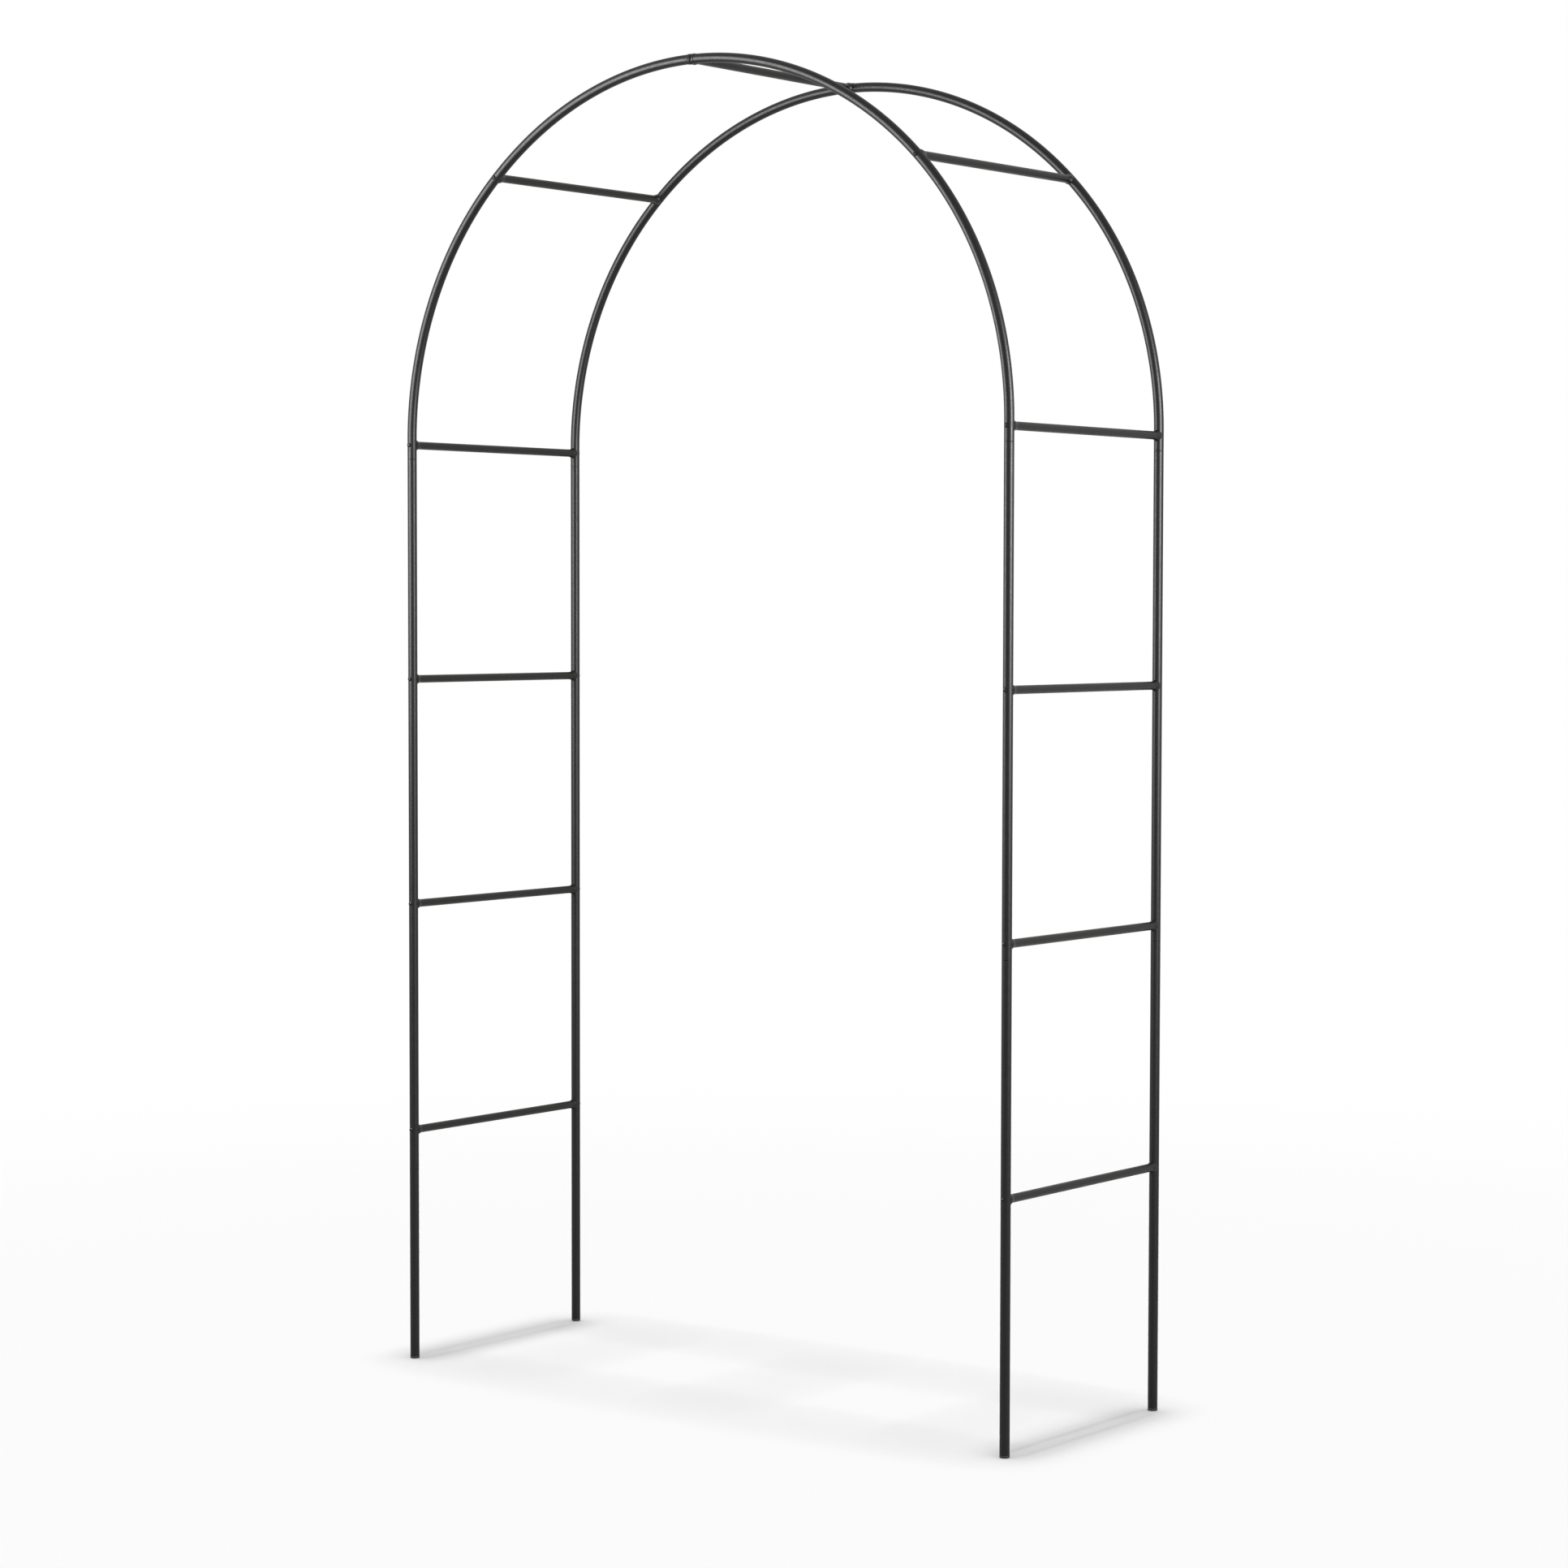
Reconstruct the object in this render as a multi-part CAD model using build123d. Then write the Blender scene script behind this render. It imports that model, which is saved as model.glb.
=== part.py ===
"""Garden arch: two round-topped tube hoops held apart by ladder rungs, as a push-fit kit.

Each hoop stands in a plane across X. The front hoop is at -Y and the rear hoop at +Y.
The origin is on the ground, midway between the four legs. All sizes are in millimetres.
"""

from build123d import *
import math
import os

# Overall proportions
span = 1284.0  # between the leg axes of one hoop
depth = 445.0  # between the planes of the two hoops
first_rung_height = 414.0
second_rung_height = 822.0
third_rung_height = 1225.0
fourth_rung_height = 1642.0
crown_rise = 619.0  # from the start of the bend to the hoop axis at the apex
haunch_angle = 45.0  # where the haunch bend runs into the crown bend
left_haunch_rung_angle = 48.2  # up the bend from the left legs to the left haunch rung
right_haunch_rung_angle = 45.2  # up the bend from the right legs to the right haunch rung

# Hoop tube and its push-fit joints
tube_diameter = 16.5  # 16 mm steel tube with its coat
tube_wall = 0.8
joint_clearance = 0.1  # between a spigot and its socket, on the radius
socket_depth = 34.0  # how far a spigot goes into its socket
spigot_past_rung = 9.0  # how far a spigot goes past the screw that locks it
swage_length = 0.5  # cone between the full tube and its spigot

# Apex seam between the two half crowns
seam_gap = 1.2
lip_height = 0.7
lip_length = 6.5
joiner_length = 60.0
joiner_clearance = 0.3  # between the joiner and the half crowns' bore, on the radius

# Rungs and their saddle ends
rung_diameter = 14.0
rung_wall = 0.8
saddle_flare = 9.0  # length over which the round tube opens into the saddle
saddle_widening_along = 3.0  # added to the rung's radius along the hoop tube
saddle_clearance = 0.15  # between a saddle and the hoop tube it straddles
saddle_setback = 3.5  # from the plane of the hoop to the tips of the saddle's lips

# Screws and the threaded plugs in the rung ends
screw_diameter = 5.0
screw_head_diameter = 8.0
screw_head_height = 2.0
screw_head_rim = 0.4  # straight edge below the dome
screw_tip_chamfer = 0.8
screw_hole_clearance = 0.25
screw_seat_clearance = 0.05
thread_clearance = 0.05
thread_engagement = 10.0
plug_length = 15.0
plug_setback = 4.0  # from the hoop tube's surface to the plug
plug_fit_clearance = 0.05
plug_chamfer = 0.6

# Foot plugs
foot_head_height = 4.0
foot_edge_radius = 1.6
foot_shank_length = 18.0
foot_shank_wall = 1.5
foot_fin_count = 3
foot_fin_length = 2.0
foot_fin_height = 0.6
foot_fit_clearance = 0.05

SIDES = {"left": -1, "right": 1}
HOOPS = {"front": -1, "rear": 1}
RUNG_HEIGHTS = (first_rung_height, second_rung_height, third_rung_height, fourth_rung_height)
HAUNCH_RUNG_ANGLES = {"left": left_haunch_rung_angle, "right": right_haunch_rung_angle}
LEG_JOINTS = {"lower_leg": second_rung_height, "upper_leg": fourth_rung_height}

# Sizes that follow from those above
half_span = span / 2
tube_radius = tube_diameter / 2
tube_bore = tube_diameter - 2 * tube_wall
spigot_diameter = tube_bore - 2 * joint_clearance
spigot_chamfer = tube_wall / 2
hole_diameter = screw_diameter + 2 * screw_hole_clearance
lip_diameter = tube_diameter + 2 * lip_height
spring_height = fourth_rung_height + spigot_past_rung
apex_height = spring_height + crown_rise
screw_length = tube_diameter + plug_setback + thread_engagement

# Radii of the two bends, which run into each other at the haunch angle
haunch_sine = math.sin(math.radians(haunch_angle))
haunch_cosine = math.cos(math.radians(haunch_angle))
flattening = (1 - haunch_sine) / haunch_cosine
haunch_radius = (crown_rise - half_span * flattening) / (1 - flattening)
crown_radius = haunch_radius + (half_span - haunch_radius) / haunch_cosine
haunch_centre = (half_span - haunch_radius, spring_height)
crown_centre = (0, apex_height - crown_radius)


def ring(diameter, bore):
    """Cross-section of a tube."""
    return Circle(diameter / 2) - Circle(bore / 2)


def straight_tube(bottom, top, diameter, bore):
    """Upright tube on the Z axis."""
    return extrude(Pos(0, 0, bottom) * ring(diameter, bore), top - bottom)


def bent_tube(centre, radius, start, end, diameter, bore):
    """Tube bent upwards in the XZ plane about a centre, from one angle to another, in degrees."""
    centre_x, centre_z = centre
    axis = Axis((centre_x, 0, centre_z), (0, -1, 0))
    section = Pos(centre_x + radius, 0, centre_z) * ring(diameter, bore)
    return revolve(section, axis, end - start).rotate(axis, start)


def screw_hole(x, z):
    """Cutter for a screw that crosses a hoop tube from front to rear."""
    return Pos(x, 0, z) * Rot(90, 0, 0) * Cylinder(hole_diameter / 2, 2 * tube_diameter)


def turned(points):
    """Solid turned about Z from an outline of (radius, height) points."""
    outline = [(radius, 0, height) for radius, height in points]
    return revolve(make_face(Polyline(*outline, close=True)), Axis.Z)


def seam_below(rung_height):
    """Height of the seam of a leg joint that is locked by the screw of a rung at the given height."""
    return rung_height + spigot_past_rung - socket_depth


def leg_tube(bottom, joint_height):
    """Straight leg tube on the Z axis, swaged at its upper end into the spigot of a joint."""
    seam = seam_below(joint_height)
    shoulder = seam - swage_length
    top = seam + socket_depth
    outer = tube_radius
    inner = tube_bore / 2
    spigot_outer = spigot_diameter / 2
    spigot_inner = spigot_outer - tube_wall
    body = turned(
        [
            (inner, bottom),
            (outer, bottom),
            (outer, shoulder),
            (spigot_outer, seam),
            (spigot_outer, top - spigot_chamfer),
            (spigot_outer - spigot_chamfer, top),
            (spigot_inner, top),
            (spigot_inner, seam),
            (inner, shoulder),
        ]
    )
    for height in RUNG_HEIGHTS:
        if bottom < height < top:
            body -= screw_hole(0, height)
    return body


def half_crown(rung_angle):
    """Right half of a hoop's crown: straight socket, haunch bend, crown bend and lipped rim."""
    rim_angle = 90 - math.degrees(seam_gap / 2 / crown_radius)
    lip_angle = rim_angle - math.degrees(lip_length / crown_radius)
    tail = straight_tube(seam_below(fourth_rung_height), spring_height, tube_diameter, tube_bore)
    body = Pos(half_span, 0, 0) * tail
    body += bent_tube(haunch_centre, haunch_radius, 0, haunch_angle, tube_diameter, tube_bore)
    body += bent_tube(crown_centre, crown_radius, haunch_angle, lip_angle, tube_diameter, tube_bore)
    body += bent_tube(crown_centre, crown_radius, lip_angle, rim_angle, lip_diameter, tube_bore)
    body -= screw_hole(half_span, fourth_rung_height)
    body -= screw_hole(*bend_place(rung_angle))
    body -= screw_hole(0, apex_height)
    return body


def bend_place(angle):
    """Point of the right half of a hoop's axis at an angle up its bend, in degrees."""
    if angle <= haunch_angle:
        centre_x, centre_z = haunch_centre
        radius = haunch_radius
    else:
        centre_x, centre_z = crown_centre
        radius = crown_radius
    turn = math.radians(angle)
    return centre_x + radius * math.cos(turn), centre_z + radius * math.sin(turn)


def crown_joiner():
    """Bent sleeve that carries both half crowns across the apex seam."""
    half_angle = math.degrees(joiner_length / 2 / crown_radius)
    diameter = tube_bore - 2 * joiner_clearance
    bore = diameter - 2 * tube_wall
    start = 90 - half_angle
    end = 90 + half_angle
    sleeve = bent_tube(crown_centre, crown_radius, start, end, diameter, bore)
    return sleeve - screw_hole(0, apex_height)


def flared_end(radius, mouth_across):
    """Solid trumpet on the Z axis that opens from a round rung into an oval saddle, towards +Z."""
    mouth = depth / 2 - tube_radius
    mouth_along = radius + saddle_widening_along
    sections = []
    for share in (0, 0.5, 1):
        opened = share**2
        across = radius + opened * (mouth_across - radius)
        along = radius + opened * (mouth_along - radius)
        sections.append(Pos(0, 0, mouth - (1 - share) * saddle_flare) * Ellipse(across, along))
    return loft(sections) + extrude(sections[-1], tube_radius - saddle_setback)


def rung(seat_diameter):
    """Rung along Y whose flared ends are coped to straddle an upright hoop tube."""
    outer = rung_diameter / 2
    inner = outer - rung_wall
    cope_radius = seat_diameter / 2 + saddle_clearance
    lip_reach = math.sqrt(cope_radius**2 - saddle_setback**2)  # lips that hug the hoop tube at their tips
    straight = depth - 2 * (tube_radius + saddle_flare)
    body = Cylinder(outer, straight) - Cylinder(inner, straight)
    end = flared_end(outer, lip_reach + rung_wall) - flared_end(inner, lip_reach)
    body += end
    body += Rot(180, 0, 0) * end
    body = Rot(-90, 0, 0) * body
    cope = Cylinder(cope_radius, 4 * rung_diameter)
    for side in HOOPS.values():
        body -= Pos(0, side * depth / 2, 0) * cope
    return body


def screw(seat_diameter):
    """Domed screw along Y, seated on the outer side of a hoop tube at the origin, pointing to -Y."""
    head_radius = screw_head_diameter / 2
    shank_radius = screw_diameter / 2
    tip_radius = shank_radius - screw_tip_chamfer
    seat = seat_diameter / 2 + screw_seat_clearance
    tip = seat - screw_length
    rim = seat + screw_head_rim
    crown = seat + screw_head_height
    dome_radius = (head_radius**2 + (crown - rim) ** 2) / (2 * (crown - rim))
    half_dome = math.asin(head_radius / dome_radius) / 2
    dome_middle = (
        dome_radius * math.sin(half_dome),
        crown - dome_radius * (1 - math.cos(half_dome)),
    )
    straight_edges = Polyline(
        (0, crown),
        (0, tip),
        (tip_radius, tip),
        (shank_radius, tip + screw_tip_chamfer),
        (shank_radius, seat),
        (head_radius, seat),
        (head_radius, rim),
    )
    dome = ThreePointArc((head_radius, rim), dome_middle, (0, crown))
    return revolve(make_face(straight_edges + dome), Axis.Y)


def thread_plug():
    """Threaded plug on the Y axis, set in the rung end next to a hoop tube at the origin."""
    outer = rung_diameter / 2 - rung_wall - plug_fit_clearance
    thread = screw_diameter / 2 + thread_clearance
    near = -tube_radius - plug_setback
    far = near - plug_length
    plug = turned(
        [
            (thread, far),
            (outer - plug_chamfer, far),
            (outer, far + plug_chamfer),
            (outer, near - plug_chamfer),
            (outer - plug_chamfer, near),
            (thread, near),
        ]
    )
    return Rot(-90, 0, 0) * plug


def foot_plug():
    """Plug that closes a leg: a rounded head flush with the tube and a finned hollow shank."""
    head = Pos(0, 0, foot_head_height / 2) * Cylinder(tube_radius, foot_head_height)
    head = fillet(head.edges().group_by(Axis.Z)[0], foot_edge_radius)
    fin_radius = tube_bore / 2 - foot_fit_clearance
    shank_radius = fin_radius - foot_fin_height
    shank_bore = 2 * (shank_radius - foot_shank_wall)
    fin_root = shank_radius - foot_shank_wall / 2
    top = foot_head_height + foot_shank_length
    plug = head + straight_tube(foot_head_height, top, 2 * shank_radius, shank_bore)
    fin_pitch = foot_shank_length / foot_fin_count
    for fin in range(foot_fin_count):
        fin_top = top - fin * fin_pitch
        fin_bottom = fin_top - foot_fin_length
        plug += turned(
            [
                (fin_root, fin_bottom),
                (fin_radius, fin_bottom),
                (shank_radius, fin_top),
                (fin_root, fin_top),
            ]
        )
    return plug


def rung_stations():
    """Each rung's name, its place on the hoop, its turn about Y and the diameter it seats on."""
    stations = []
    for side, sign in SIDES.items():
        for number, height in enumerate(RUNG_HEIGHTS, start=1):
            stations.append((f"{side}_rung_{number}", sign * half_span, height, 0, tube_diameter))
        angle = HAUNCH_RUNG_ANGLES[side]
        x, z = bend_place(angle)
        stations.append((f"{side}_haunch_rung", sign * x, z, -sign * angle, tube_diameter))
    stations.append(("top_rung", 0, apex_height, 90, lip_diameter))
    return stations


def hoop_nodes():
    """Tubes, joiners and foot plugs of both hoops, by node name."""
    nodes = {}
    legs = {}
    bottom = foot_head_height
    for name, joint_height in LEG_JOINTS.items():
        legs[name] = leg_tube(bottom, joint_height)
        bottom = seam_below(joint_height)
    crowns = {side: half_crown(angle) for side, angle in HAUNCH_RUNG_ANGLES.items()}
    joiner = crown_joiner()
    foot = foot_plug()
    for hoop, y_sign in HOOPS.items():
        hoop_plane = Pos(0, y_sign * depth / 2, 0)
        nodes[f"{hoop}_crown_joiner"] = hoop_plane * joiner
        for side, x_sign in SIDES.items():
            corner = f"{hoop}_{side}"
            leg_place = hoop_plane * Pos(x_sign * half_span, 0, 0)
            for name, leg in legs.items():
                nodes[f"{corner}_{name}"] = leg_place * leg
            nodes[f"{corner}_foot_plug"] = leg_place * foot
            turn = 0 if x_sign > 0 else 180
            nodes[f"{corner}_half_crown"] = hoop_plane * Rot(0, 0, turn) * crowns[side]
    return nodes


def rung_nodes():
    """Rungs by node name, with one group of screws and one group of threaded plugs."""
    nodes = {}
    screws = []
    plugs = []
    plug = thread_plug()
    seats = (tube_diameter, lip_diameter)
    rung_for = {seat: rung(seat) for seat in seats}
    screw_for = {seat: screw(seat) for seat in seats}
    for name, x, z, turn, seat in rung_stations():
        nodes[name] = Pos(x, 0, z) * Rot(0, turn, 0) * rung_for[seat]
        for sign in HOOPS.values():
            facing = Pos(x, sign * depth / 2, z) * Rot(0, 0, 0 if sign > 0 else 180)
            screws.append(facing * screw_for[seat])
            plugs.append(facing * plug)
    nodes["joint_screws"] = Compound(children=screws)
    nodes["rung_thread_plugs"] = Compound(children=plugs)
    return nodes


os.makedirs("parts", exist_ok=True)
for node, shape in {**hoop_nodes(), **rung_nodes()}.items():
    export_step(shape, f"parts/{node}.step")
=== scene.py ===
"""Looks of the garden arch: eased tubes, trumpet saddles, screws and finishes in a white studio."""

import math

import bmesh
import bpy
from mathutils import Matrix, Vector


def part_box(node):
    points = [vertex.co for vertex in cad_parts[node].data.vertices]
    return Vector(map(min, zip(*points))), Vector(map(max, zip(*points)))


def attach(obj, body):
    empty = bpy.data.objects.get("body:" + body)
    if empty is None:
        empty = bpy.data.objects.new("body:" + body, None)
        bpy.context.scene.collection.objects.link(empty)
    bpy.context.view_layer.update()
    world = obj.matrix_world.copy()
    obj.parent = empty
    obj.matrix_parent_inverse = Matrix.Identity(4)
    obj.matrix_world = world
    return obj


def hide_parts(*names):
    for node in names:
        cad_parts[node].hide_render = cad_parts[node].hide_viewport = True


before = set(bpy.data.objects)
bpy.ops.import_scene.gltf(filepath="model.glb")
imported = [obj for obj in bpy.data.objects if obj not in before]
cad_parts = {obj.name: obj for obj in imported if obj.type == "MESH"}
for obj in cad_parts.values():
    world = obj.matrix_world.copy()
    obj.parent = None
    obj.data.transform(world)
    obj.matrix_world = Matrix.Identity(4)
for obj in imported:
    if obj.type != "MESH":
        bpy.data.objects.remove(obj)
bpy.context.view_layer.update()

MM = 0.001
SIDES = {"left": -1, "right": 1}
HOOPS = {"front": -1, "rear": 1}
RUNG_NUMBERS = (1, 2, 3, 4)


def middle(node):
    """Centre of a node's box."""
    low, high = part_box(node)
    return (low + high) / 2


def size(node):
    """Size of a node's box."""
    low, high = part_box(node)
    return high - low


# Places of the hoops, read from the frame
half_span = middle("front_right_lower_leg").x
half_depth = middle("rear_right_lower_leg").y
tube_radius = size("front_right_lower_leg").x / 2
leg_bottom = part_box("front_right_lower_leg")[0].z
lower_spigot_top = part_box("front_right_lower_leg")[1].z
lower_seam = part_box("front_right_upper_leg")[0].z
spring_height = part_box("front_right_upper_leg")[1].z
upper_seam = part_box("front_right_half_crown")[0].z
seam_gap = 2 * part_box("front_right_half_crown")[0].x
lip_radius = size("front_right_half_crown").y / 2
apex_height = middle("top_rung").z

# Sizes of the tube ends that the frame's boxes don't give
tube_wall = 0.8 * MM
joint_clearance = 0.1 * MM
swage_length = 0.5 * MM
lip_length = 6.5 * MM
lip_slope = 0.7 * MM  # run-up from the tube to the rolled lip
lip_bead = 0.45 * MM  # rounding of the rolled lip
joiner_length = 60.0 * MM
joiner_clearance = 0.3 * MM
tube_bore = tube_radius - tube_wall
spigot_radius = tube_bore - joint_clearance
rim_rounding = 0.3 * MM  # coated edges are never sharp
inner_rounding = 0.15 * MM

# Rungs, read from the frame
rung_tip = size("left_rung_1").y / 2
saddle_along = size("left_rung_1").z / 2
rung_wall = 0.8 * MM
rung_radius = 7.0 * MM
saddle_flare = 9.0 * MM
saddle_clearance = 0.15 * MM
mouth_softness = 0.25  # how gently the trumpet's mouth turns into the straight lips
saddle_edge_rounding = 0.35 * MM
saddle_setback = half_depth - rung_tip

# Screws
screw_radius = 2.5 * MM
screw_bite = 14.0 * MM  # reach past the hoop tube, into the rung's threaded plug
screw_length = 2 * tube_radius + screw_bite
screw_head_radius = 4.0 * MM
screw_head_height = 2.0 * MM
screw_head_rim = 0.4 * MM
screw_seat_clearance = 0.05 * MM
screw_hole_radius = 2.75 * MM
thread_pitch = 0.8 * MM
thread_depth = 0.45 * MM
thread_length = 20.0 * MM
recess_width = 1.1 * MM
recess_reach = 2.1 * MM
recess_depth = 1.2 * MM
recess_arms = 4
recess_narrowing = 0.55  # width at the bottom as a share of the width at the top

# Foot plugs
foot_rounding = 1.6 * MM
foot_shank_clearance = 0.65 * MM
foot_shank_radius = tube_bore - foot_shank_clearance
foot_shank_wall = 1.5 * MM
foot_fin_clearance = 0.05 * MM
foot_fin_radius = tube_bore - foot_fin_clearance
foot_fin_count = 3
foot_fin_length = 2.0 * MM
foot_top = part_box("front_right_foot_plug")[1].z

# Fineness of the skins
tube_turns = 48
rung_turns = 64
screw_turns = 32
corner_steps = 4
flare_steps = 14
saddle_edge_steps = 6
dome_steps = 8
thread_turn_steps = 5
bend_step = 6.0 * MM
joiner_step = 7.0 * MM  # an odd count of steps, so that no ring runs through the screw hole
straight_step = 100.0 * MM
hole_guard = 3.6 * MM  # rings this far from a hole keep its edges under the screw head
drill_length = 4 * tube_radius
weld_distance = 0.0001 * MM  # points this close become one
sharp_angle = math.radians(40)  # edges of a cut that turn further than this stay sharp

# Bends of the hoop: haunch and crown arcs that run into each other half-way up the bend
haunch_angle = math.radians(45)
crown_rise = apex_height - spring_height
flattening = (1 - math.sin(haunch_angle)) / math.cos(haunch_angle)
haunch_radius = (crown_rise - half_span * flattening) / (1 - flattening)
crown_radius = haunch_radius + (half_span - haunch_radius) / math.cos(haunch_angle)
haunch_centre = Vector((half_span - haunch_radius, spring_height))
crown_centre = Vector((0, apex_height - crown_radius))
tail_length = spring_height - upper_seam
haunch_length = haunch_radius * haunch_angle
rim_angle = math.pi / 2 - seam_gap / 2 / crown_radius
crown_length = tail_length + haunch_length + crown_radius * (rim_angle - haunch_angle)


def around(centre, radius, angle):
    """Point of a bend at an angle, as (x, z)."""
    return centre + radius * Vector((math.cos(angle), math.sin(angle)))


def leg_path(along):
    """Place on a right leg's axis at a height: x, z and the lean of the tube."""
    return half_span, along, 0.0


def crown_path(along):
    """Place on a right half crown's axis at a length from its seam: x, z and the lean of the tube."""
    if along <= tail_length:
        return half_span, upper_seam + along, 0.0
    if along <= tail_length + haunch_length:
        lean = (along - tail_length) / haunch_radius
        x, z = around(haunch_centre, haunch_radius, lean)
    else:
        lean = haunch_angle + (along - tail_length - haunch_length) / crown_radius
        x, z = around(crown_centre, crown_radius, lean)
    return x, z, lean


def apex_path(along):
    """Place on the crown's axis at a length past the apex: x, z and the lean of the tube."""
    lean = math.pi / 2 + along / crown_radius
    x, z = around(crown_centre, crown_radius, lean)
    return x, z, lean


def bend_lean(node):
    """Lean of the hoop where a rung crosses it, from the middle of the rung's node."""
    place = middle(node)
    point = Vector((abs(place.x), place.z))
    from_haunch = point - haunch_centre
    lean = math.atan2(from_haunch.y, from_haunch.x)
    if lean > haunch_angle:
        from_crown = point - crown_centre
        lean = math.atan2(from_crown.y, from_crown.x)
    return lean


def eased(corners, step, closed, holes=()):
    """Outline round corners of (along, radius, rounding), with points a step apart and beside holes."""
    points = [Vector(corner[:2]) for corner in corners]
    bends = [step / corner_steps for step in range(corner_steps + 1)]
    arcs = []
    for index, corner in enumerate(points):
        rounding = corners[index][2]
        if rounding == 0:
            arcs.append([corner])
            continue
        start = corner + rounding * (points[index - 1] - corner).normalized()
        end = corner + rounding * (points[(index + 1) % len(points)] - corner).normalized()
        arcs.append([start.lerp(corner, bend).lerp(corner.lerp(end, bend), bend) for bend in bends])
    outline = []
    for index, arc in enumerate(arcs):
        outline += arc
        if index == len(arcs) - 1 and not closed:
            break
        start = arc[-1]
        run = arcs[(index + 1) % len(arcs)][0] - start
        count = max(1, math.ceil(run.length / step))
        shares = {number / count for number in range(1, count)}
        if run.x != 0:
            guards = [hole + side * hole_guard for hole in holes for side in (-1, 1)]
            shares |= {(guard - start.x) / run.x for guard in guards}
        outline += [start + share * run for share in sorted(shares) if 0 < share < 1]
    return outline


def skin(name, rings, closed):
    """Smooth mesh through rings of points. A closed skin joins its last ring to its first."""
    mesh = bpy.data.meshes.new(name)
    made = bmesh.new()
    loops = [[made.verts.new(point) for point in ring] for ring in rings]
    pairs = list(zip(loops, loops[1:]))
    if closed:
        pairs.append((loops[-1], loops[0]))
    for low, high in pairs:
        for index in range(len(low)):
            after = (index + 1) % len(low)
            made.faces.new((low[index], low[after], high[after], high[index]))
    bmesh.ops.remove_doubles(made, verts=made.verts, dist=weld_distance)
    bmesh.ops.recalc_face_normals(made, faces=made.faces)
    for face in made.faces:
        face.smooth = True
    made.to_mesh(mesh)
    made.free()
    return mesh


def turns(count):
    """Angles round a full circle."""
    return [2 * math.pi * index / count for index in range(count)]


def swept(name, path, outline, mirror, y):
    """Tube skin whose outline of (along, radius) follows a path in a hoop's plane."""
    rings = []
    for along, radius in outline:
        x, z, lean = path(along)
        ring = []
        for turn in turns(tube_turns):
            out = radius * math.cos(turn)
            point_x = mirror * (x + out * math.cos(lean))
            point_y = y + radius * math.sin(turn)
            point_z = z + out * math.sin(lean)
            ring.append(Vector((point_x, point_y, point_z)))
        rings.append(ring)
    return skin(name, rings, closed=True)


def turned(name, outline):
    """Solid of revolution about Z from an open outline of (height, radius)."""
    rings = []
    for height, radius in outline:
        ring = []
        for turn in turns(screw_turns):
            ring.append(Vector((radius * math.cos(turn), radius * math.sin(turn), height)))
        rings.append(ring)
    return skin(name, rings, closed=False)


def piece(name, mesh, material, slot, *nodes):
    """Object that stands for CAD nodes and wears the given finish. The slot is not used."""
    made = bpy.data.objects.new(name, mesh)
    bpy.context.scene.collection.objects.link(made)
    made.data.materials.append(material)
    shading = made.modifiers.new("even shading", "WEIGHTED_NORMAL")
    shading.keep_sharp = True
    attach(made, "root")
    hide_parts(*nodes)
    return made


def leg_outline(bottom, seam, top, holes):
    """Leg tube from its lower rim to the spigot that goes into the tube above."""
    shoulder = seam - swage_length
    return eased(
        [
            (bottom, tube_bore, inner_rounding),
            (bottom, tube_radius, rim_rounding),
            (shoulder, tube_radius, rim_rounding),
            (seam, spigot_radius, rim_rounding),
            (top, spigot_radius, rim_rounding),
            (top, spigot_radius - tube_wall, inner_rounding),
            (seam, spigot_radius - tube_wall, rim_rounding),
            (shoulder, tube_bore, rim_rounding),
        ],
        straight_step,
        closed=True,
        holes=holes,
    )


def crown_outline(holes):
    """Half crown from its socket rim to the rolled lip at the apex."""
    return eased(
        [
            (0, tube_bore, inner_rounding),
            (0, tube_radius, rim_rounding),
            (crown_length - lip_length - lip_slope, tube_radius, lip_bead),
            (crown_length - lip_length, lip_radius, lip_bead),
            (crown_length, lip_radius, lip_bead),
            (crown_length, tube_bore, inner_rounding),
        ],
        bend_step,
        closed=True,
        holes=holes,
    )


def joiner_outline():
    """Sleeve that bridges the apex seam inside both half crowns."""
    outer = tube_bore - joiner_clearance
    end = joiner_length / 2
    return eased(
        [
            (-end, outer - tube_wall, inner_rounding),
            (-end, outer, rim_rounding),
            (end, outer, rim_rounding),
            (end, outer - tube_wall, inner_rounding),
        ],
        joiner_step,
        closed=True,
    )


def trumpet(share):
    """How far a rung end has opened at a share of its flare: a parabola eased into straight lips."""
    rising = max(share, 0) ** 2
    blend = min(max(0.5 + 0.5 * (1 - rising) / mouth_softness, 0), 1)
    return 1 + blend * (rising - 1) - mouth_softness * blend * (1 - blend)


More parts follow.
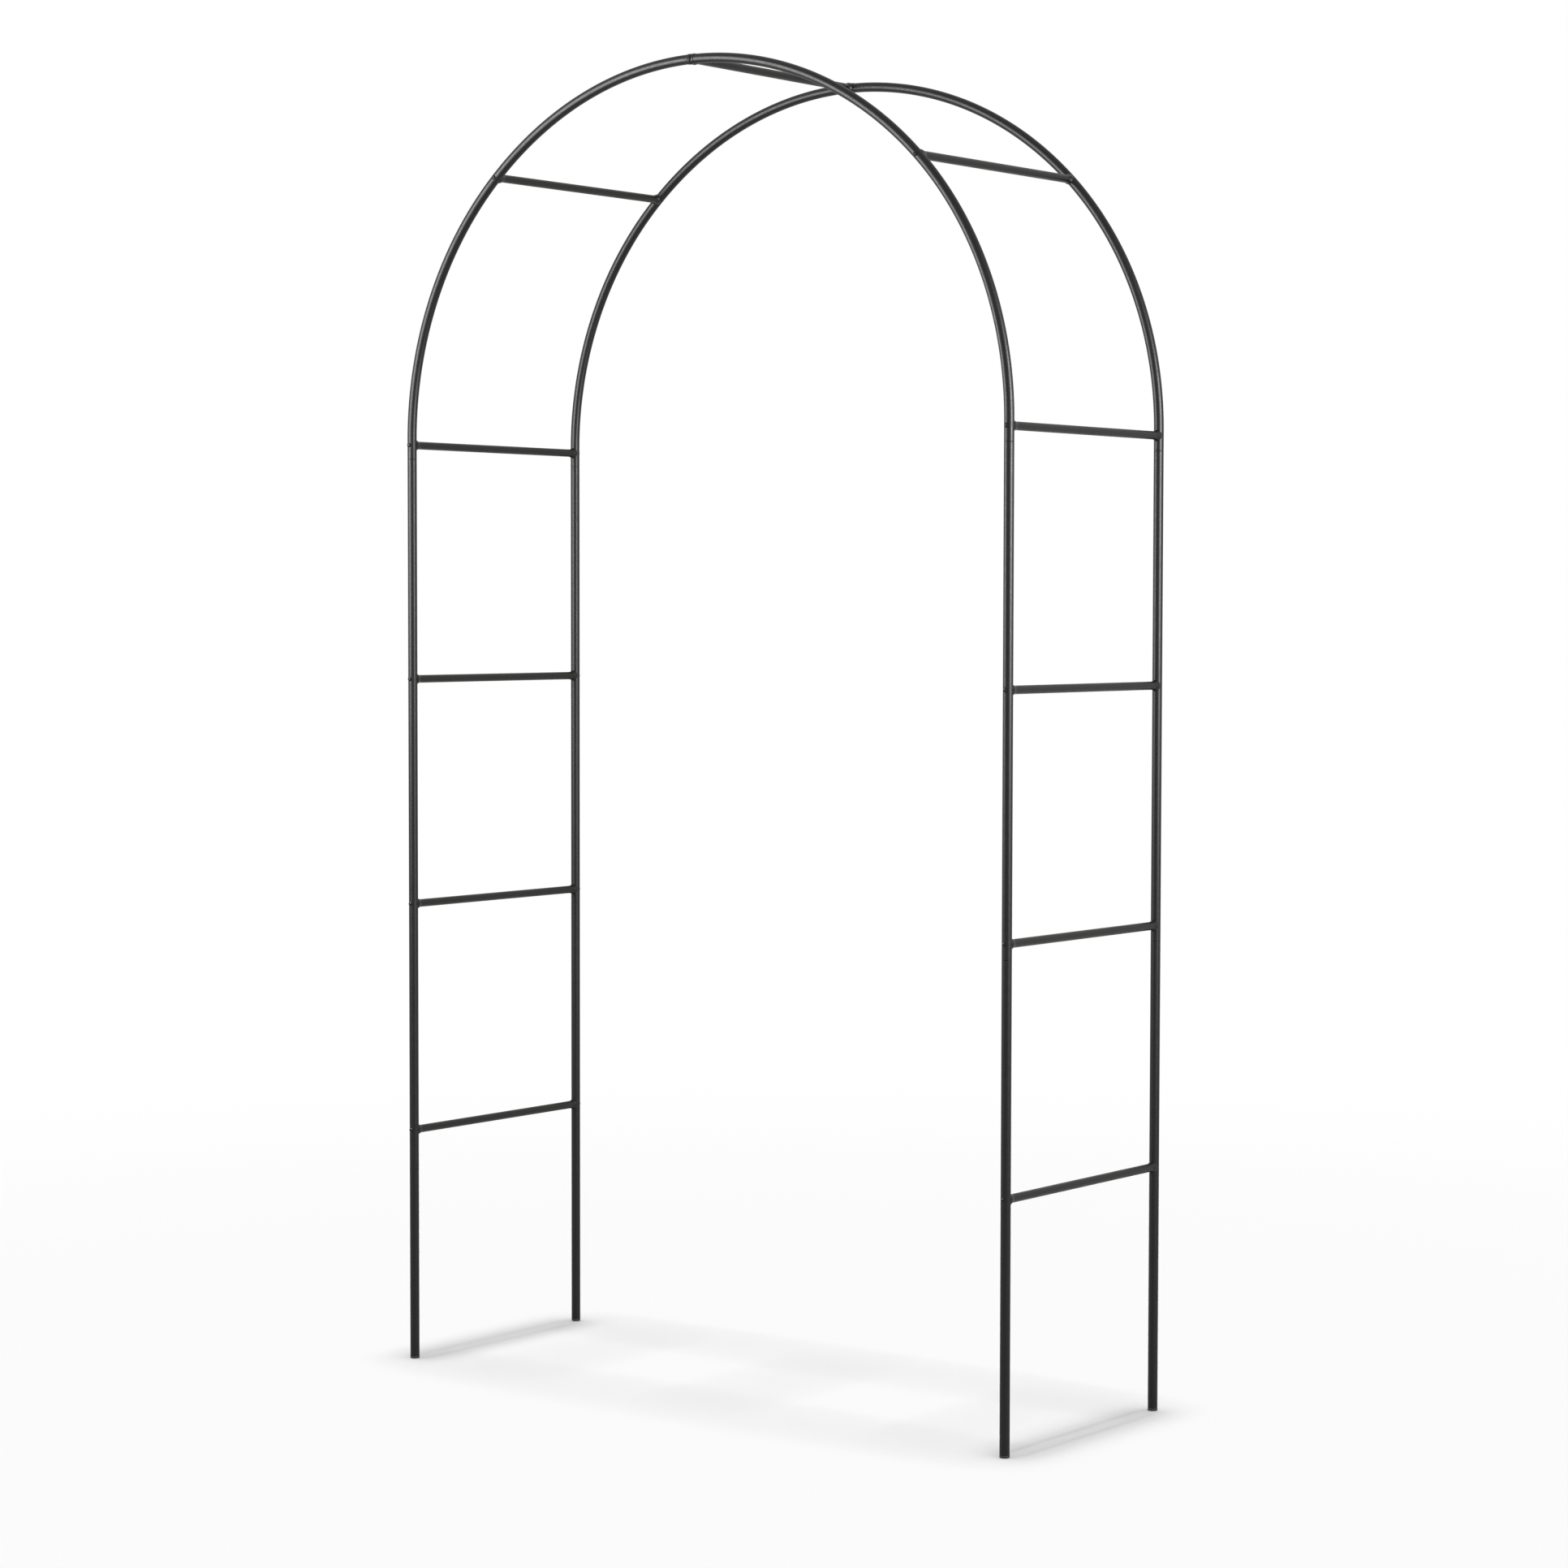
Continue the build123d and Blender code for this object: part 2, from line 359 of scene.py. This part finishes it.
def rung_mesh(name, seat_radius):
    """Rung along Y with flared ends coped over a hoop tube: across is X and along the hoop is Z."""
    cope = seat_radius + saddle_clearance
    lip_reach = math.sqrt(cope**2 - saddle_setback**2)
    widening_across = lip_reach + rung_wall - rung_radius
    widening_along = saddle_along - rung_radius
    throat = half_depth - tube_radius - saddle_flare

    def ring(y_at, inset, opening):
        points = []
        for turn in turns(rung_turns):
            y = y_at(turn)
            opened = trumpet((y - throat) / saddle_flare) * opening
            across = rung_radius - inset + opened * widening_across
            along = rung_radius - inset + opened * widening_along
            points.append(Vector((across * math.cos(turn), y, along * math.sin(turn))))
        return points

    def lip(turn, inset):
        x = (rung_radius - inset + widening_across) * math.cos(turn)
        to_axis = math.sqrt(max(cope**2 - x**2, 0))
        return half_depth - max(to_axis, saddle_setback)

    def end_ring(share, inset, back):
        return ring(lambda turn: throat + share * (lip(turn, inset) - back - throat), inset, 1)

    flare_shares = [step / flare_steps for step in range(flare_steps + 1)]
    half = [ring(lambda turn: 0, 0, 0), ring(lambda turn: throat - saddle_flare, 0, 0)]
    half += [end_ring(share, 0, saddle_edge_rounding) for share in flare_shares]
    for step in range(1, saddle_edge_steps):
        bow = math.pi * step / saddle_edge_steps
        inset = rung_wall * (1 - math.cos(bow)) / 2
        back = saddle_edge_rounding * (1 - math.sin(bow))
        half.append(end_ring(1, inset, back))
    half += [end_ring(share, rung_wall, saddle_edge_rounding) for share in reversed(flare_shares)]
    half += [ring(lambda turn: throat - saddle_flare, rung_wall, 0), ring(lambda turn: 0, rung_wall, 0)]
    other = [[Vector((p.x, -p.y, p.z)) for p in points] for points in reversed(half[1:-1])]
    return skin(name, half + other, closed=True)


def screw_mesh(name):
    """Domed screw on Z, its seat at height 0 and its tip below, with a helical thread."""
    dome = screw_head_height - screw_head_rim
    dome_radius = (screw_head_radius**2 + dome**2) / (2 * dome)
    widest = math.asin(screw_head_radius / dome_radius)
    rings = []
    for step in range(dome_steps + 1):
        angle = widest * step / dome_steps
        height = screw_head_height - dome_radius * (1 - math.cos(angle))
        rings.append((height, dome_radius * math.sin(angle), 0))
    rings += [(screw_head_rim / 2, screw_head_radius, 0), (0, screw_head_radius - rim_rounding, 0)]
    rings += [(0, screw_radius, 0)]
    thread_start = thread_length - screw_length
    thread_steps = round(thread_length / thread_pitch * thread_turn_steps)
    for step in range(thread_steps + 1):
        rings.append((thread_start - thread_length * step / thread_steps, screw_radius, thread_depth))
    rings.append((-screw_length, 0, 0))
    points = []
    for height, radius, depth in rings:
        ring = []
        for turn in turns(screw_turns):
            phase = (height / thread_pitch + turn / (2 * math.pi)) % 1
            reach = radius - depth * abs(2 * phase - 1)
            ring.append(Vector((reach * math.cos(turn), reach * math.sin(turn), height)))
        points.append(ring)
    return skin(name, points, closed=False)


def cut(mesh, *cutters):
    """Mesh with the forms of other meshes cut out of it, sharp along the cuts."""
    blank = bpy.data.objects.new("blank", mesh)
    tools = [bpy.data.objects.new("cutter", cutter) for cutter in cutters]
    for helper in [blank, *tools]:
        bpy.context.scene.collection.objects.link(helper)
    for tool in tools:
        blank.modifiers.new("cut", "BOOLEAN").object = tool
    graph = bpy.context.evaluated_depsgraph_get()
    made = bpy.data.meshes.new_from_object(blank.evaluated_get(graph))
    for helper in [blank, *tools]:
        bpy.data.objects.remove(helper)
    made.set_sharp_from_angle(angle=sharp_angle)
    return made


def recess_cutter():
    """Cross recess, narrower towards its bottom."""
    half_width = recess_width / 2
    arm = [(recess_reach, -half_width), (recess_reach, half_width), (half_width, half_width)]
    off_edges = math.pi / screw_turns  # keeps the corners between the edges of the head's facets
    outline = []
    for turn in turns(recess_arms):
        outline += [Matrix.Rotation(turn + off_edges, 2) @ Vector(corner) for corner in arm]
    top = screw_head_height + recess_depth
    bottom = screw_head_height - recess_depth
    rings = []
    for height, share in ((top, 0), (top, 1), (bottom, recess_narrowing), (bottom, 0)):
        rings.append([Vector((share * x, share * y, height)) for x, y in outline])
    return skin("recess", rings, closed=False)


def hole_drills(places, y):
    """Drills that cross a hoop tube from front to rear at places of (x, z)."""
    made = bmesh.new()
    for x, z in places:
        bmesh.ops.create_cone(
            made,
            cap_ends=True,
            segments=screw_turns,
            radius1=screw_hole_radius,
            radius2=screw_hole_radius,
            depth=drill_length,
            matrix=Matrix.Translation((x, y, z)) @ Matrix.Rotation(math.pi / 2, 4, "X"),
        )
    mesh = bpy.data.meshes.new("drills")
    made.to_mesh(mesh)
    made.free()
    return mesh


def foot_outline():
    """Plug from the middle of its sole to the open end of its finned shank."""
    corners = [
        (0, 0, 0),
        (0, tube_radius, foot_rounding),
        (leg_bottom, tube_radius, rim_rounding),
        (leg_bottom, foot_shank_radius, 0),
    ]
    fin_pitch = (foot_top - leg_bottom) / foot_fin_count
    for fin in range(1, foot_fin_count + 1):
        fin_top = leg_bottom + fin * fin_pitch
        corners.append((fin_top - foot_fin_length, foot_shank_radius, 0))
        corners.append((fin_top - foot_fin_length, foot_fin_radius, 0))
        corners.append((fin_top, foot_shank_radius, 0))
    corners += [
        (foot_top, foot_shank_radius - foot_shank_wall, 0),
        (leg_bottom, foot_shank_radius - foot_shank_wall, 0),
        (leg_bottom, 0, 0),
    ]
    return eased(corners, straight_step, closed=False)


def linear(hex_colour):
    """Linear RGBA of an sRGB hex colour."""
    channels = [int(hex_colour[start : start + 2], 16) / 255 for start in (1, 3, 5)]
    return [c / 12.92 if c <= 0.04045 else ((c + 0.055) / 1.055) ** 2.4 for c in channels] + [1.0]


def add(tree, kind, inputs, **settings):
    """Adds a node with its settings. An input that is a socket is linked, and any other is a value."""
    node = tree.nodes.new(kind)
    for name, value in settings.items():
        setattr(node, name, value)
    for key, value in inputs.items():
        if isinstance(value, bpy.types.NodeSocket):
            tree.links.new(value, node.inputs[key])
        else:
            node.inputs[key].default_value = value
    return node


def blank_material(name):
    """New material with an empty node tree."""
    material = bpy.data.materials.new(name)
    material.use_nodes = True
    material.node_tree.nodes.clear()
    return material, material.node_tree


# Sockets of the Mix node that take and give colours
MIX_FIRST = 6
MIX_SECOND = 7
MIX_RESULT = 2

# Powder coat
coat_ior = 1.33  # polyester is nearer 1.5, and this gives the faint gloss of the photographed coat
cloud_size = 35 * MM
cloud_detail = 5.0
sheen_size = 9 * MM
sheen_detail = 3.0
sheen_low = 0.3  # the noise keeps almost wholly between these two levels
sheen_high = 0.7
peel_size = 2.5 * MM  # real peel is under 1 mm and would not show, so it is drawn coarser
peel_height = 0.06 * MM
peel_strength = 0.9
peel_detail = 2.0

# Zinc and polyethylene
spangle_size = 1.5 * MM
polyethylene_ior = 1.51
grain_size = 0.9 * MM  # real grain is about 0.2 mm and would not show, so it is drawn coarser
grain_height = 0.05 * MM
grain_strength = 0.4
grain_detail = 4.0


def powder_coat(name, deep, pale, smoothest, roughest):
    """Polyester powder baked on steel: near black, satin, faintly cloudy, with a fine orange peel."""
    material, tree = blank_material(name)
    place = add(tree, "ShaderNodeTexCoord", {}).outputs["Object"]
    cloud = add(
        tree,
        "ShaderNodeTexNoise",
        {"Vector": place, "Scale": 1 / cloud_size, "Detail": cloud_detail},
    )
    tint = add(
        tree,
        "ShaderNodeMix",
        {"Factor": cloud.outputs["Fac"], MIX_FIRST: linear(deep), MIX_SECOND: linear(pale)},
        data_type="RGBA",
    )
    sheen = add(
        tree,
        "ShaderNodeTexNoise",
        {"Vector": place, "Scale": 1 / sheen_size, "Detail": sheen_detail},
    )
    roughness = add(
        tree,
        "ShaderNodeMapRange",
        {
            "Value": sheen.outputs["Fac"],
            "From Min": sheen_low,
            "From Max": sheen_high,
            "To Min": smoothest,
            "To Max": roughest,
        },
    )
    peel = add(
        tree,
        "ShaderNodeTexNoise",
        {"Vector": place, "Scale": 1 / peel_size, "Detail": peel_detail},
    )
    bump = add(
        tree,
        "ShaderNodeBump",
        {"Strength": peel_strength, "Distance": peel_height, "Height": peel.outputs["Fac"]},
    )
    coat = add(
        tree,
        "ShaderNodeBsdfPrincipled",
        {
            "Base Color": tint.outputs[MIX_RESULT],
            "Roughness": roughness.outputs["Result"],
            "IOR": coat_ior,
            "Normal": bump.outputs["Normal"],
        },
    )
    add(tree, "ShaderNodeOutputMaterial", {"Surface": coat.outputs["BSDF"]})
    return material


def zinc_plate(name, pale, deep, smoothest, roughest):
    """Zinc plated on turned steel: bright blue-grey metal with a fine spangle and satin patches."""
    material, tree = blank_material(name)
    place = add(tree, "ShaderNodeTexCoord", {}).outputs["Object"]
    spangle = add(tree, "ShaderNodeTexVoronoi", {"Vector": place, "Scale": 1 / spangle_size})
    tint = add(
        tree,
        "ShaderNodeMix",
        {"Factor": spangle.outputs["Distance"], MIX_FIRST: linear(pale), MIX_SECOND: linear(deep)},
        data_type="RGBA",
    )
    roughness = add(
        tree,
        "ShaderNodeMapRange",
        {"Value": spangle.outputs["Distance"], "To Min": smoothest, "To Max": roughest},
    )
    metal = add(
        tree,
        "ShaderNodeBsdfPrincipled",
        {
            "Base Color": tint.outputs[MIX_RESULT],
            "Roughness": roughness.outputs["Result"],
            "Metallic": 1.0,
        },
    )
    add(tree, "ShaderNodeOutputMaterial", {"Surface": metal.outputs["BSDF"]})
    return material


def moulded_polyethylene(name, deep, pale, smoothest, roughest):
    """Black polyethylene moulded in a spark-eroded tool: matt, waxy and finely grained."""
    material, tree = blank_material(name)
    place = add(tree, "ShaderNodeTexCoord", {}).outputs["Object"]
    grain = add(
        tree,
        "ShaderNodeTexNoise",
        {"Vector": place, "Scale": 1 / grain_size, "Detail": grain_detail},
    )
    tint = add(
        tree,
        "ShaderNodeMix",
        {"Factor": grain.outputs["Fac"], MIX_FIRST: linear(deep), MIX_SECOND: linear(pale)},
        data_type="RGBA",
    )
    roughness = add(
        tree,
        "ShaderNodeMapRange",
        {"Value": grain.outputs["Fac"], "To Min": smoothest, "To Max": roughest},
    )
    bump = add(
        tree,
        "ShaderNodeBump",
        {"Strength": grain_strength, "Distance": grain_height, "Height": grain.outputs["Fac"]},
    )
    plastic = add(
        tree,
        "ShaderNodeBsdfPrincipled",
        {
            "Base Color": tint.outputs[MIX_RESULT],
            "Roughness": roughness.outputs["Result"],
            "IOR": polyethylene_ior,
            "Normal": bump.outputs["Normal"],
        },
    )
    add(tree, "ShaderNodeOutputMaterial", {"Surface": plastic.outputs["BSDF"]})
    return material


# Finishes: name, two colours, and the least and greatest roughness
hoop_coat = powder_coat("Charcoal powder coat", "#090908", "#0f0f0e", 0.36, 0.44)
# The rungs wear the same coat as the hoops. This lighter, warmer copy is painted light that gives the
# rungs their brighter, warmer tone.
rung_coat_painted_light = powder_coat("Charcoal powder coat with painted light for rungs", "#0e0e0b", "#161612", 0.33, 0.42)
screw_coat = powder_coat("Black lacquer on screws", "#0c0c0b", "#141413", 0.27, 0.36)
joiner_coat = powder_coat("Thin black coat on sleeve", "#050505", "#0b0b0b", 0.45, 0.55)
zinc = zinc_plate("Zinc plate", "#b9bdc2", "#9a9fa6", 0.28, 0.42)
polyethylene = moulded_polyethylene("Black polyethylene", "#111111", "#1b1b1a", 0.5, 0.68)


def crown_along(lean):
    """Length up a half crown from its lower seam to a lean of the tube."""
    if lean <= haunch_angle:
        return tail_length + haunch_radius * lean
    return tail_length + haunch_length + crown_radius * (lean - haunch_angle)


def hoop_tubes(side):
    """Name, path, outline and hole places of each tube in one side of a hoop."""
    heights = [middle(f"{side}_rung_{number}").z for number in RUNG_NUMBERS]
    haunch = middle(f"{side}_haunch_rung")
    apex = middle("top_rung")
    spans = {
        "lower_leg": (leg_bottom, lower_seam, lower_spigot_top),
        "upper_leg": (lower_seam, upper_seam, spring_height),
    }
    tubes = []
    for name, (bottom, seam, top) in spans.items():
        holes = [height for height in heights if bottom < height < top]
        places = [(SIDES[side] * half_span, height) for height in holes]
        tubes.append((name, leg_path, leg_outline(bottom, seam, top, holes), places))
    holes = [heights[-1] - upper_seam, crown_along(bend_lean(f"{side}_haunch_rung"))]
    places = [(SIDES[side] * half_span, heights[-1]), (haunch.x, haunch.z), (apex.x, apex.z)]
    tubes.append(("half_crown", crown_path, crown_outline(holes), places))
    return tubes


def build_hoops():
    """Legs, half crowns, joiners and foot plugs of both hoops."""
    tubes = {side: hoop_tubes(side) for side in SIDES}
    apex = middle("top_rung")
    foot = turned("foot plug", foot_outline())
    for hoop, y_sign in HOOPS.items():
        y = y_sign * half_depth
        node = f"{hoop}_crown_joiner"
        sleeve = swept(node, apex_path, joiner_outline(), 1, y)
        sleeve = cut(sleeve, hole_drills([(apex.x, apex.z)], y))
        piece(f"{node}_sleeve", sleeve, joiner_coat, "joiner", node)
        for side, x_sign in SIDES.items():
            for name, path, outline, places in tubes[side]:
                node = f"{hoop}_{side}_{name}"
                tube = swept(node, path, outline, x_sign, y)
                tube = cut(tube, hole_drills(places, y))
                piece(f"{node}_tube", tube, hoop_coat, "hoop_tube", node)
            node = f"{hoop}_{side}_foot_plug"
            plug = foot.copy()
            plug.transform(Matrix.Translation((x_sign * half_span, y, 0)))
            piece(f"{node}_moulding", plug, polyethylene, "foot_plug", node)


def rung_stations():
    """Each rung's node, the lean of the hoop there and the radius that it seats on."""
    stations = []
    for side, x_sign in SIDES.items():
        for number in RUNG_NUMBERS:
            stations.append((f"{side}_rung_{number}", 0.0, tube_radius))
        node = f"{side}_haunch_rung"
        stations.append((node, -x_sign * bend_lean(node), tube_radius))
    stations.append(("top_rung", math.pi / 2, lip_radius))
    return stations


def build_rungs():
    """Rungs with their saddles, and all the screws as one group."""
    rung_for = {seat: rung_mesh("rung", seat) for seat in (tube_radius, lip_radius)}
    screw = cut(screw_mesh("screw"), recess_cutter())
    screws = bmesh.new()
    for node, lean, seat in rung_stations():
        place = middle(node)
        tube = rung_for[seat].copy()
        tube.transform(Matrix.Translation(place) @ Matrix.Rotation(lean, 4, "Y"))
        piece(f"{node}_tube", tube, rung_coat_painted_light, "rung_tube", node)
        for y_sign in HOOPS.values():
            reach = half_depth + seat + screw_seat_clearance
            seated = screw.copy()
            turn = Matrix.Rotation(-y_sign * math.pi / 2, 4, "X")
            seated.transform(Matrix.Translation((place.x, y_sign * reach, place.z)) @ turn)
            screws.from_mesh(seated)
            bpy.data.meshes.remove(seated)
    group = bpy.data.meshes.new("screws")
    screws.to_mesh(group)
    screws.free()
    piece("joint_screw_group", group, screw_coat, "screw", "joint_screws")


build_hoops()
build_rungs()
thread_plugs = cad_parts["rung_thread_plugs"]
thread_plugs.data.materials.clear()
thread_plugs.data.materials.append(zinc)


# Camera at the photograph's place, with its directions in degrees
camera_place = Vector((3.95833, -5.12209, 1.36142))
camera_heading = 37.5212  # left of +Y
camera_dip = 2.7685
camera_roll = 0.0955
camera_lens = 85.78
camera_sensor = 36.0
camera_reach = 200.0  # well past the far edge of the floor


def build_camera():
    """Camera that sees the arch as the photograph does."""
    data = bpy.data.cameras.new("camera")
    data.lens = camera_lens
    data.sensor_width = camera_sensor
    data.clip_end = camera_reach
    camera = bpy.data.objects.new("camera", data)
    heading = Matrix.Rotation(math.radians(camera_heading), 4, "Z")
    tilt = Matrix.Rotation(math.radians(90 - camera_dip), 4, "X")
    roll = Matrix.Rotation(math.radians(camera_roll), 4, "Z")
    camera.matrix_world = Matrix.Translation(camera_place) @ heading @ tilt @ roll
    bpy.context.scene.collection.objects.link(camera)
    bpy.context.scene.camera = camera


# Studio in metres, with left and right as the camera sees them
white = "#ffffff"
floor_colour = "#fafafa"
floor_radius = 14.0
floor_sides = 96
floor_drop = 0.2 * MM
fade_start = 1.6  # the floor runs out into white between these two distances
fade_end = 4.5
background_level = 1.0  # what the eye and the reflections see
ambient_level = 0.2  # what lights the arch and the floor
overhead_level = 2.55
overhead_angle = math.radians(6.5)
left_panel_place = Vector((-1.26, -1.97, 1.95))
left_panel_aim = Vector((-0.3, 0.0, 1.95))
left_panel_width = 1.2
left_panel_height = 1.7
left_panel_level = 19.5
right_panel_place = Vector((3.26, -0.14, 1.93))
right_panel_aim = Vector((0.5, 0.0, 1.93))
right_panel_width = 1.0
right_panel_height = 1.5
right_panel_level = 46.0


def softbox(name, place, aim, panel_size, level):
    """Soft panel lamp of a given brightness, upright, that faces a point."""
    data = bpy.data.lights.new(name, "AREA")
    data.shape = "RECTANGLE"
    data.size, data.size_y = panel_size
    data.energy = math.pi * level * data.size * data.size_y
    lamp = bpy.data.objects.new(name, data)
    lamp.location = place
    lamp.rotation_euler = (aim - place).to_track_quat("-Z", "Y").to_euler()
    lamp.visible_camera = False
    lamp.visible_diffuse = False
    bpy.context.scene.collection.objects.link(lamp)


def build_floor():
    """Matt white floor that runs out into the white background and keeps the arch's shadow."""
    mesh = bpy.data.meshes.new("floor")
    made = bmesh.new()
    bmesh.ops.create_circle(made, cap_ends=True, segments=floor_sides, radius=floor_radius)
    made.to_mesh(mesh)
    made.free()
    floor = bpy.data.objects.new("floor", mesh)
    floor.location.z = -floor_drop
    bpy.context.scene.collection.objects.link(floor)
    material, tree = blank_material("Matt white studio floor")
    place = add(tree, "ShaderNodeTexCoord", {}).outputs["Object"]
    away = add(tree, "ShaderNodeVectorMath", {0: place}, operation="LENGTH").outputs["Value"]
    fade = add(
        tree,
        "ShaderNodeMapRange",
        {"Value": away, "From Min": fade_start, "From Max": fade_end},
        interpolation_type="SMOOTHSTEP",
    )
    matt = add(tree, "ShaderNodeBsdfDiffuse", {"Color": linear(floor_colour)})
    glow = add(tree, "ShaderNodeEmission", {"Color": linear(white), "Strength": background_level})
    mixed = add(
        tree,
        "ShaderNodeMixShader",
        {0: fade.outputs["Result"], 1: matt.outputs["BSDF"], 2: glow.outputs["Emission"]},
    )
    add(tree, "ShaderNodeOutputMaterial", {"Surface": mixed.outputs["Shader"]})
    mesh.materials.append(material)


def build_background():
    """White surroundings for the eye and for reflections, at a lower level for the light they give."""
    world = bpy.data.worlds.new("studio")
    bpy.context.scene.world = world
    world.use_nodes = True
    tree = world.node_tree
    tree.nodes.clear()
    ray = add(tree, "ShaderNodeLightPath", {}).outputs
    mirrored = add(
        tree,
        "ShaderNodeMath",
        {0: ray["Is Glossy Ray"], 1: ray["Is Transmission Ray"]},
        operation="MAXIMUM",
    )
    seen = add(
        tree,
        "ShaderNodeMath",
        {0: ray["Is Camera Ray"], 1: mirrored.outputs["Value"]},
        operation="MAXIMUM",
    )
    level = add(
        tree,
        "ShaderNodeMapRange",
        {"Value": seen.outputs["Value"], "To Min": ambient_level, "To Max": background_level},
    )
    glow = add(
        tree,
        "ShaderNodeBackground",
        {"Color": linear(white), "Strength": level.outputs["Result"]},
    )
    add(tree, "ShaderNodeOutputWorld", {"Surface": glow.outputs["Background"]})


def build_lamps():
    """Panels to the left and right of the arch, and an overhead light that casts the floor shadow."""
    left_size = (left_panel_width, left_panel_height)
    right_size = (right_panel_width, right_panel_height)
    softbox("left panel", left_panel_place, left_panel_aim, left_size, left_panel_level)
    softbox("right panel", right_panel_place, right_panel_aim, right_size, right_panel_level)
    data = bpy.data.lights.new("overhead", "SUN")
    data.energy = overhead_level
    data.angle = overhead_angle
    lamp = bpy.data.objects.new("overhead", data)
    lamp.visible_glossy = False
    bpy.context.scene.collection.objects.link(lamp)


build_camera()
build_floor()
build_background()
build_lamps()
bpy.context.scene.view_settings.view_transform = "Standard"
